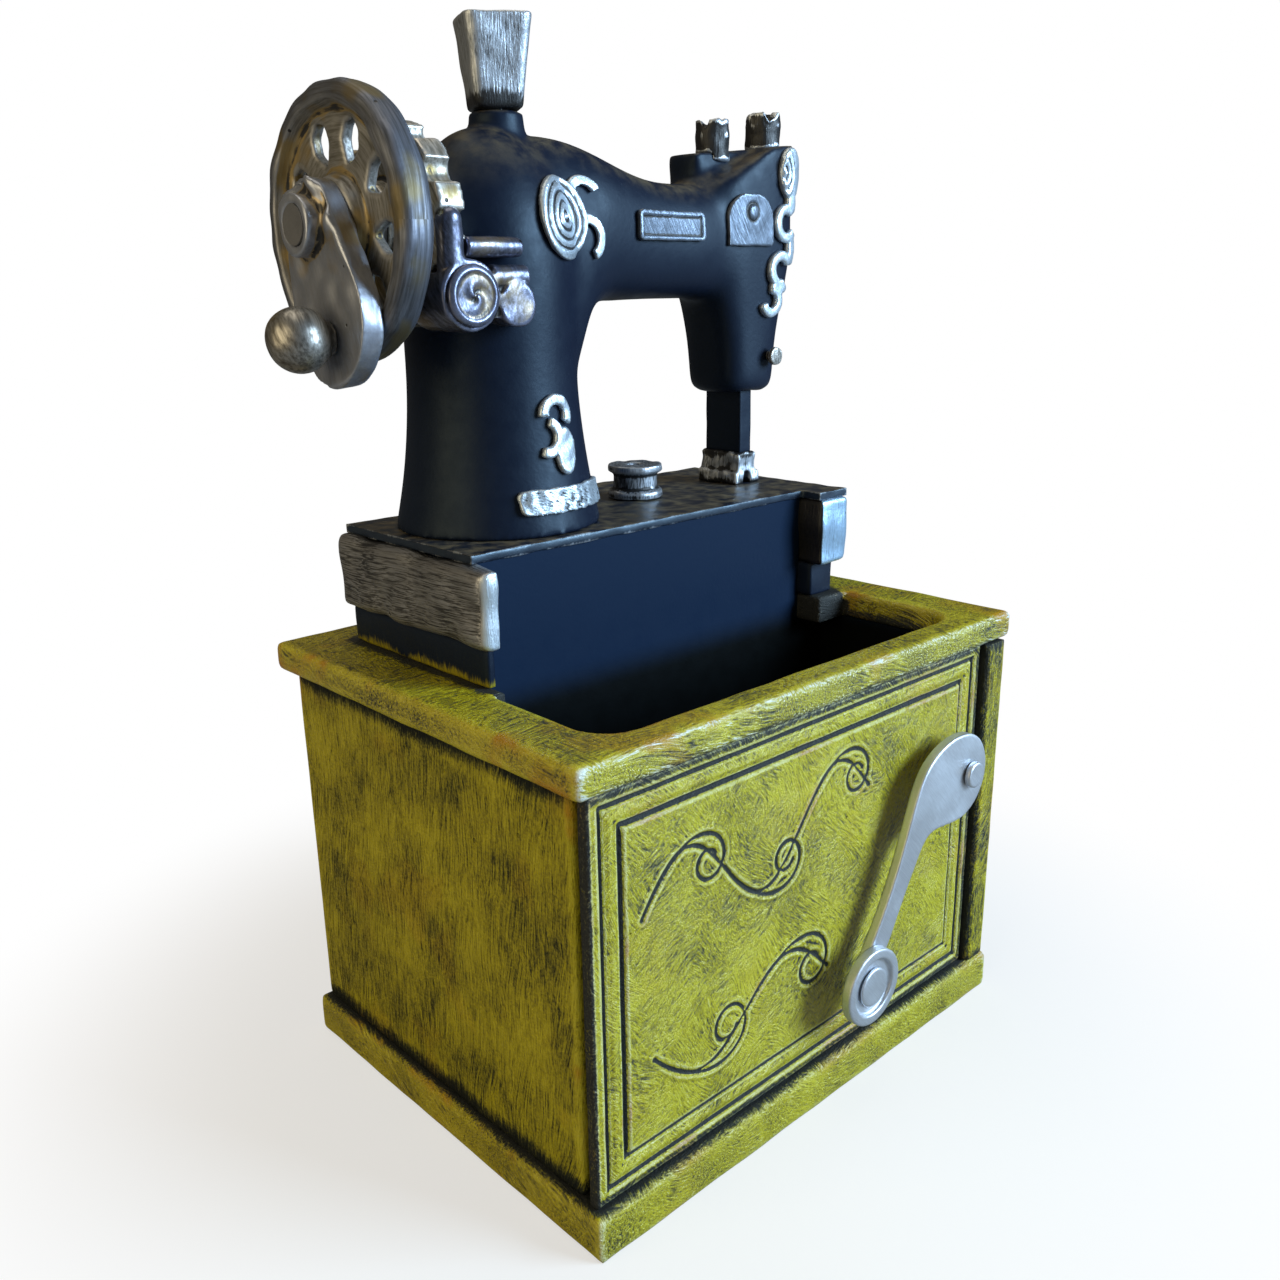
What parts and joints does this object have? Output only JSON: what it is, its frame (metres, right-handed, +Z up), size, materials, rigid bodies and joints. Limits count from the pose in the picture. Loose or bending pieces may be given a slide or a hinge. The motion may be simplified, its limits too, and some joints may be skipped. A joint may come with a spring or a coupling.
{
  "type": "sewing machine planter",
  "caption": "Ornamental planter shaped as an antique hand-cranked sewing machine on a moulded chest, with a turning wheel, crank, front lever, spool, bobbin and lifting presser foot",
  "frame": {"origin": "centre of the chest's plan on the surface it stands on", "axes": "+X along the machine's length from the hand wheel to the needle head, -Y the panelled front with the lever, +Z up"},
  "size_m": [0.1648, 0.1245, 0.2508],
  "materials": {
    "chest_paint": "olive yellow paint brushed over black on cast resin",
    "groove_black": "black paint left in the grooves of the panelled front",
    "machine_black": "satin black paint on cast resin",
    "silver_wash": "silver paint brushed over black on cast resin",
    "antique_silver": "antiqued silver paint on cast resin",
    "steel": "plain steel pins and shafts",
    "lever_metal": "satin cast metal"
  },
  "bodies": {
    "cabinet": {"base_plinth": "chest_paint", "left_side": "chest_paint", "right_side": "chest_paint", "back_board": "chest_paint", "front_backing": "groove_black", "front_panel": "chest_paint", "corner_post": "chest_paint", "top_rim": "chest_paint", "planter_liner": "machine_black", "bed_step": "machine_black", "bed_body": "machine_black", "bed_end_left": "silver_wash", "bed_end_right": "silver_wash", "bed_plate": "machine_black", "arm_front_shell": "machine_black", "arm_rear_shell": "machine_black", "wheel_bearing": "antique_silver", "winder_housing": "antique_silver", "winder_cap": "antique_silver", "winder_spindle": "antique_silver", "spool_pin": "steel", "guide_post_left": "silver_wash", "guide_post_right": "silver_wash", "tension_stud": "silver_wash", "bobbin_spindle": "steel", "oval_rosette": "silver_wash", "name_plate": "silver_wash", "arch_plate": "silver_wash", "head_scroll": "silver_wash", "pillar_ornament": "silver_wash", "pillar_band": "silver_wash", "lever_spacer": "lever_metal", "lever_pivot_pin": "lever_metal"},
    "wheel": {"hand_wheel": "antique_silver", "wheel_shaft": "steel", "shaft_collar": "steel", "crank_arm": "antique_silver", "crank_stud": "steel"},
    "crank_grip": {"crank_knob": "antique_silver"},
    "lever": {"front_lever": "lever_metal", "lever_knob_pin": "lever_metal"},
    "lever_grip": {"lever_knob": "lever_metal"},
    "spool": {"thread_spool": "silver_wash"},
    "bobbin_reel": {"bobbin": "silver_wash"},
    "presser": {"presser_bar": "machine_black", "presser_foot": "silver_wash"}
  },
  "joints": [
    {"name": "wheel_spin", "type": "hinge", "parent": "cabinet", "child": "wheel", "pos_m": [-0.0672, 0.02, 0.2069], "axis": [1, 0, 0], "continuous": true},
    {"name": "crank_knob_spin", "type": "hinge", "parent": "wheel", "child": "crank_grip", "pos_m": [-0.0832, 0.01448, 0.18478], "axis": [1, 0, 0], "continuous": true},
    {"name": "lever_turn", "type": "hinge", "parent": "cabinet", "child": "lever", "pos_m": [0.05, -0.0623, 0.074], "axis": [0, 1, 0], "continuous": true},
    {"name": "lever_knob_spin", "type": "hinge", "parent": "lever", "child": "lever_grip", "pos_m": [0.0083, -0.066, 0.032], "axis": [0, 1, 0], "continuous": true},
    {"name": "spool_spin", "type": "hinge", "parent": "cabinet", "child": "spool", "pos_m": [-0.0275, 0.02, 0.24], "axis": [0, 0, 1], "continuous": true},
    {"name": "bobbin_spin", "type": "hinge", "parent": "cabinet", "child": "bobbin_reel", "pos_m": [0.013, 0.02, 0.1449], "axis": [0, 0, 1], "continuous": true},
    {"name": "presser_lift", "type": "slide", "parent": "cabinet", "child": "presser", "axis": [0, 0, 1], "range_m": [0, 0.005]}
  ]
}
